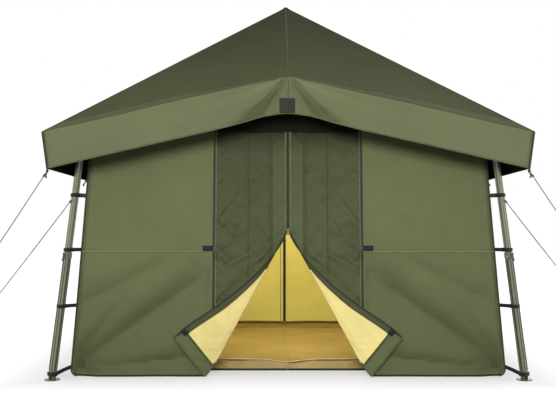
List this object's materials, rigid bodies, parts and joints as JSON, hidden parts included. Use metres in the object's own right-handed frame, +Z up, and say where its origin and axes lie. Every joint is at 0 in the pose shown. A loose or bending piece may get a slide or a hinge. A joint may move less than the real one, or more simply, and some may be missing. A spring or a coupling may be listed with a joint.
{
  "type": "frame tent",
  "caption": "Square frame tent in olive cloth: peaked canopy with valance, telescopic corner legs, roped front corners and a zipped door with folded-back flaps.",
  "frame": {"origin": "on the ground under the peak, at the centre of the four feet", "axes": "+Z up, the door on the -Y side, +X to the right of someone who faces the door"},
  "size_m": [3.94, 3.64, 3.053],
  "materials": {
    "roof_cloth": "woven, matt",
    "wall_cloth": "woven, matt",
    "door_cloth": "woven, matt",
    "floor_cloth": "coated, matt",
    "green_tube": "semi-gloss",
    "hub_casting": "satin",
    "black_fitting": "satin",
    "black_zip": "satin",
    "wire": "satin",
    "rope": "braided"
  },
  "bodies": {
    "hub": {"hub_crown": "hub_casting", "peak_cap": "roof_cloth"},
    "arm_front_left": {"arm_front_left": "green_tube", "elbow_front_left": "black_fitting"},
    "arm_front_right": {"arm_front_right": "green_tube", "elbow_front_right": "black_fitting"},
    "arm_rear_left": {"arm_rear_left": "green_tube", "elbow_rear_left": "black_fitting"},
    "arm_rear_right": {"arm_rear_right": "green_tube", "elbow_rear_right": "black_fitting"},
    "arm_front_middle": {"arm_front_middle": "green_tube", "roof_front": "roof_cloth"},
    "arm_rear_middle": {"arm_rear_middle": "green_tube", "roof_rear": "roof_cloth"},
    "roof_left": {"roof_left": "roof_cloth"},
    "roof_right": {"roof_right": "roof_cloth"},
    "hook_front_left": {"corner_hook_front_left": "wire", "guy_upper_left": "rope", "guy_ring_upper_left": "wire"},
    "hook_front_right": {"corner_hook_front_right": "wire", "guy_upper_right": "rope", "guy_ring_upper_right": "wire"},
    "hook_rear_left": {"corner_hook_rear_left": "wire"},
    "hook_rear_right": {"corner_hook_rear_right": "wire"},
    "leg_upper_front_left": {"leg_upper_front_left": "green_tube", "guy_lower_left": "rope", "guy_ring_lower_left": "wire"},
    "leg_upper_front_right": {"leg_upper_front_right": "green_tube", "guy_lower_right": "rope", "guy_ring_lower_right": "wire"},
    "leg_upper_rear_left": {"leg_upper_rear_left": "green_tube"},
    "leg_upper_rear_right": {"leg_upper_rear_right": "green_tube"},
    "leg_lower_front_left": {"leg_lower_front_left": "green_tube", "clamp_collar_front_left": "black_fitting"},
    "leg_lower_front_right": {"leg_lower_front_right": "green_tube", "clamp_collar_front_right": "black_fitting"},
    "leg_lower_rear_left": {"leg_lower_rear_left": "green_tube", "clamp_collar_rear_left": "black_fitting"},
    "leg_lower_rear_right": {"leg_lower_rear_right": "green_tube", "clamp_collar_rear_right": "black_fitting"},
    "clamp_lever_front_left": {"clamp_lever_front_left": "black_fitting"},
    "clamp_lever_front_right": {"clamp_lever_front_right": "black_fitting"},
    "clamp_lever_rear_left": {"clamp_lever_rear_left": "black_fitting"},
    "clamp_lever_rear_right": {"clamp_lever_rear_right": "black_fitting"},
    "foot_front_left": {"foot_front_left": "green_tube"},
    "foot_front_right": {"foot_front_right": "green_tube"},
    "foot_rear_left": {"foot_rear_left": "green_tube"},
    "foot_rear_right": {"foot_rear_right": "green_tube"},
    "wall_front": {"wall_front": "wall_cloth"},
    "wall_rear": {"wall_rear": "wall_cloth"},
    "wall_left": {"wall_left": "wall_cloth"},
    "wall_right": {"wall_right": "wall_cloth"},
    "floor_left": {"floor_left": "floor_cloth"},
    "floor_right": {"floor_right": "floor_cloth"},
    "door_leaf_left": {"door_leaf_left": "door_cloth"},
    "door_leaf_right": {"door_leaf_right": "door_cloth"},
    "slider_centre": {"slider_centre": "black_zip"},
    "slider_left": {"slider_left": "black_zip"},
    "slider_right": {"slider_right": "black_zip"},
    "slider_rear": {"slider_rear": "black_zip"}
  },
  "joints": [
    {"name": "arm_fold_front_left", "type": "hinge", "parent": "hub", "child": "arm_front_left", "pos_m": [-0.0601, -0.0601, 2.95], "axis": [0.7071, -0.7071, 0], "range_deg": [0, 50], "deforming": ["roof_front", "roof_right", "roof_rear", "roof_left", "wall_front", "wall_rear", "wall_left", "wall_right", "floor_left", "floor_right", "door_leaf_left", "door_leaf_right", "guy_upper_left", "guy_upper_right", "guy_lower_left", "guy_lower_right", "guy_ring_upper_left", "guy_ring_upper_right", "guy_ring_lower_left", "guy_ring_lower_right"]},
    {"name": "arm_fold_front_right", "type": "hinge", "parent": "hub", "child": "arm_front_right", "pos_m": [0.0601, -0.0601, 2.95], "axis": [0.7071, 0.7071, 0], "range_deg": [0, 50]},
    {"name": "arm_fold_rear_left", "type": "hinge", "parent": "hub", "child": "arm_rear_left", "pos_m": [-0.0601, 0.0601, 2.95], "axis": [-0.7071, -0.7071, 0], "range_deg": [0, 50]},
    {"name": "arm_fold_rear_right", "type": "hinge", "parent": "hub", "child": "arm_rear_right", "pos_m": [0.0601, 0.0601, 2.95], "axis": [-0.7071, 0.7071, 0], "range_deg": [0, 50]},
    {"name": "arm_fold_front_middle", "type": "hinge", "parent": "hub", "child": "arm_front_middle", "pos_m": [0, -0.085, 2.95], "axis": [1, 0, 0], "range_deg": [0, 43]},
    {"name": "arm_fold_rear_middle", "type": "hinge", "parent": "hub", "child": "arm_rear_middle", "pos_m": [0, 0.085, 2.95], "axis": [-1, 0, 0], "range_deg": [0, 43]},
    {"name": "roof_fold_left", "type": "hinge", "parent": "hub", "child": "roof_left", "pos_m": [-0.085, 0, 2.95], "axis": [0, -1, 0], "range_deg": [0, 43]},
    {"name": "roof_fold_right", "type": "hinge", "parent": "hub", "child": "roof_right", "pos_m": [0.085, 0, 2.95], "axis": [0, 1, 0], "range_deg": [0, 43]},
    {"name": "hook_hang_front_left", "type": "hinge", "parent": "arm_front_left", "child": "hook_front_left", "pos_m": [-1.67, -1.67, 1.68], "axis": [0.7071, -0.7071, 0], "range_deg": [-50, 0]},
    {"name": "hook_hang_front_right", "type": "hinge", "parent": "arm_front_right", "child": "hook_front_right", "pos_m": [1.67, -1.67, 1.68], "axis": [0.7071, 0.7071, 0], "range_deg": [-50, 0]},
    {"name": "hook_hang_rear_left", "type": "hinge", "parent": "arm_rear_left", "child": "hook_rear_left", "pos_m": [-1.67, 1.67, 1.68], "axis": [-0.7071, -0.7071, 0], "range_deg": [-50, 0]},
    {"name": "hook_hang_rear_right", "type": "hinge", "parent": "arm_rear_right", "child": "hook_rear_right", "pos_m": [1.67, 1.67, 1.68], "axis": [-0.7071, 0.7071, 0], "range_deg": [-50, 0]},
    {"name": "elbow_fold_front_left", "type": "hinge", "parent": "arm_front_left", "child": "leg_upper_front_left", "pos_m": [-1.44138, -1.44138, 1.78004], "axis": [0.7071, -0.7071, 0], "range_deg": [-41.8, 0]},
    {"name": "elbow_fold_front_right", "type": "hinge", "parent": "arm_front_right", "child": "leg_upper_front_right", "pos_m": [1.44138, -1.44138, 1.78004], "axis": [0.7071, 0.7071, 0], "range_deg": [-41.8, 0]},
    {"name": "elbow_fold_rear_left", "type": "hinge", "parent": "arm_rear_left", "child": "leg_upper_rear_left", "pos_m": [-1.44138, 1.44138, 1.78004], "axis": [-0.7071, -0.7071, 0], "range_deg": [-41.8, 0]},
    {"name": "elbow_fold_rear_right", "type": "hinge", "parent": "arm_rear_right", "child": "leg_upper_rear_right", "pos_m": [1.44138, 1.44138, 1.78004], "axis": [-0.7071, 0.7071, 0], "range_deg": [-41.8, 0]},
    {"name": "leg_slide_front_left", "type": "slide", "parent": "leg_upper_front_left", "child": "leg_lower_front_left", "axis": [0.0892, 0.0892, 0.992], "range_m": [0, 0.56], "deforming": ["wall_front", "guy_lower_left", "guy_ring_lower_left"]},
    {"name": "leg_slide_front_right", "type": "slide", "parent": "leg_upper_front_right", "child": "leg_lower_front_right", "axis": [-0.0892, 0.0892, 0.992], "range_m": [0, 0.56], "deforming": ["wall_front", "guy_lower_right", "guy_ring_lower_right"]},
    {"name": "leg_slide_rear_left", "type": "slide", "parent": "leg_upper_rear_left", "child": "leg_lower_rear_left", "axis": [0.0892, -0.0892, 0.992], "range_m": [0, 0.56], "deforming": ["wall_rear"]},
    {"name": "leg_slide_rear_right", "type": "slide", "parent": "leg_upper_rear_right", "child": "leg_lower_rear_right", "axis": [-0.0892, -0.0892, 0.992], "range_m": [0, 0.56], "deforming": ["wall_rear"]},
    {"name": "lever_turn_front_left", "type": "hinge", "parent": "leg_lower_front_left", "child": "clamp_lever_front_left", "pos_m": [-1.54577, -1.54577, 0.85176], "axis": [-0.7071, 0.7071, 0], "range_deg": [0, 100]},
    {"name": "lever_turn_front_right", "type": "hinge", "parent": "leg_lower_front_right", "child": "clamp_lever_front_right", "pos_m": [1.54577, -1.54577, 0.85176], "axis": [-0.7071, -0.7071, 0], "range_deg": [0, 100]},
    {"name": "lever_turn_rear_left", "type": "hinge", "parent": "leg_lower_rear_left", "child": "clamp_lever_rear_left", "pos_m": [-1.54577, 1.54577, 0.85176], "axis": [0.7071, 0.7071, 0], "range_deg": [0, 100]},
    {"name": "lever_turn_rear_right", "type": "hinge", "parent": "leg_lower_rear_right", "child": "clamp_lever_rear_right", "pos_m": [1.54577, 1.54577, 0.85176], "axis": [0.7071, -0.7071, 0], "range_deg": [0, 100]},
    {"name": "foot_tilt_front_left", "type": "hinge", "parent": "leg_lower_front_left", "child": "foot_front_left", "pos_m": [-1.59844, -1.59844, 0.034], "axis": [0.7071, -0.7071, 0], "range_deg": [-20, 20]},
    {"name": "foot_tilt_front_right", "type": "hinge", "parent": "leg_lower_front_right", "child": "foot_front_right", "pos_m": [1.59844, -1.59844, 0.034], "axis": [0.7071, 0.7071, 0], "range_deg": [-20, 20]},
    {"name": "foot_tilt_rear_left", "type": "hinge", "parent": "leg_lower_rear_left", "child": "foot_rear_left", "pos_m": [-1.59844, 1.59844, 0.034], "axis": [-0.7071, -0.7071, 0], "range_deg": [-20, 20]},
    {"name": "foot_tilt_rear_right", "type": "hinge", "parent": "leg_lower_rear_right", "child": "foot_rear_right", "pos_m": [1.59844, 1.59844, 0.034], "axis": [-0.7071, 0.7071, 0], "range_deg": [-20, 20]},
    {"name": "wall_gather_front", "type": "slide", "parent": "hub", "child": "wall_front", "axis": [0, 0.7494, -0.6621], "range_m": [0, 1.628]},
    {"name": "wall_gather_rear", "type": "slide", "parent": "hub", "child": "wall_rear", "axis": [0, -0.7494, -0.6621], "range_m": [0, 1.628]},
    {"name": "wall_gather_left", "type": "slide", "parent": "hub", "child": "wall_left", "axis": [0.7494, 0, -0.6621], "range_m": [0, 1.628]},
    {"name": "wall_gather_right", "type": "slide", "parent": "hub", "child": "wall_right", "axis": [-0.7494, 0, -0.6621], "range_m": [0, 1.628]},
    {"name": "floor_fold_left", "type": "hinge", "parent": "wall_left", "child": "floor_left", "pos_m": [-1.38, 0, 0.006], "axis": [0, -1, 0], "range_deg": [0, 78]},
    {"name": "floor_fold_right", "type": "hinge", "parent": "wall_right", "child": "floor_right", "pos_m": [1.38, 0, 0.006], "axis": [0, 1, 0], "range_deg": [0, 78]},
    {"name": "door_swing_left", "type": "hinge", "parent": "wall_front", "child": "door_leaf_left", "pos_m": [-0.5185, -1.44681, 0.9], "axis": [0, -0.059, -0.9983], "range_deg": [0, 110], "deforming": ["door_leaf_left"]},
    {"name": "door_swing_right", "type": "hinge", "parent": "wall_front", "child": "door_leaf_right", "pos_m": [0.5185, -1.44681, 0.9], "axis": [0, 0.059, 0.9983], "range_deg": [0, 110], "deforming": ["door_leaf_right"]},
    {"name": "slider_centre_run", "type": "slide", "parent": "wall_front", "child": "slider_centre", "axis": [0, 0.059, 0.9983], "range_m": [-0.85, 0.7]},
    {"name": "slider_left_run", "type": "slide", "parent": "wall_front", "child": "slider_left", "axis": [0, 0.059, 0.9983], "range_m": [-0.8, 0.75]},
    {"name": "slider_right_run", "type": "slide", "parent": "wall_front", "child": "slider_right", "axis": [0, 0.059, 0.9983], "range_m": [-0.8, 0.75]},
    {"name": "slider_rear_run", "type": "slide", "parent": "wall_rear", "child": "slider_rear", "axis": [0, -0.059, 0.9983], "range_m": [-0.85, 0.75]}
  ],
  "couplings": [
    {"joint": "arm_fold_front_right", "follows": "arm_fold_front_left", "ratio": 1},
    {"joint": "arm_fold_rear_left", "follows": "arm_fold_front_left", "ratio": 1},
    {"joint": "arm_fold_rear_right", "follows": "arm_fold_front_left", "ratio": 1},
    {"joint": "arm_fold_front_middle", "follows": "arm_fold_front_left", "ratio": 0.86},
    {"joint": "arm_fold_rear_middle", "follows": "arm_fold_front_left", "ratio": 0.86},
    {"joint": "roof_fold_left", "follows": "arm_fold_front_left", "ratio": 0.86},
    {"joint": "roof_fold_right", "follows": "arm_fold_front_left", "ratio": 0.86},
    {"joint": "hook_hang_front_left", "follows": "arm_fold_front_left", "ratio": -1},
    {"joint": "hook_hang_front_right", "follows": "arm_fold_front_left", "ratio": -1},
    {"joint": "hook_hang_rear_left", "follows": "arm_fold_front_left", "ratio": -1},
    {"joint": "hook_hang_rear_right", "follows": "arm_fold_front_left", "ratio": -1},
    {"joint": "elbow_fold_front_left", "follows": "arm_fold_front_left", "ratio": -0.836},
    {"joint": "elbow_fold_front_right", "follows": "arm_fold_front_left", "ratio": -0.836},
    {"joint": "elbow_fold_rear_left", "follows": "arm_fold_front_left", "ratio": -0.836},
    {"joint": "elbow_fold_rear_right", "follows": "arm_fold_front_left", "ratio": -0.836},
    {"joint": "wall_gather_front", "follows": "arm_fold_front_left", "m_per_rad": 1.8656},
    {"joint": "wall_gather_rear", "follows": "arm_fold_front_left", "m_per_rad": 1.8656},
    {"joint": "wall_gather_left", "follows": "arm_fold_front_left", "m_per_rad": 1.8656},
    {"joint": "wall_gather_right", "follows": "arm_fold_front_left", "m_per_rad": 1.8656},
    {"joint": "floor_fold_left", "follows": "arm_fold_front_left", "ratio": 1.56},
    {"joint": "floor_fold_right", "follows": "arm_fold_front_left", "ratio": 1.56}
  ]
}
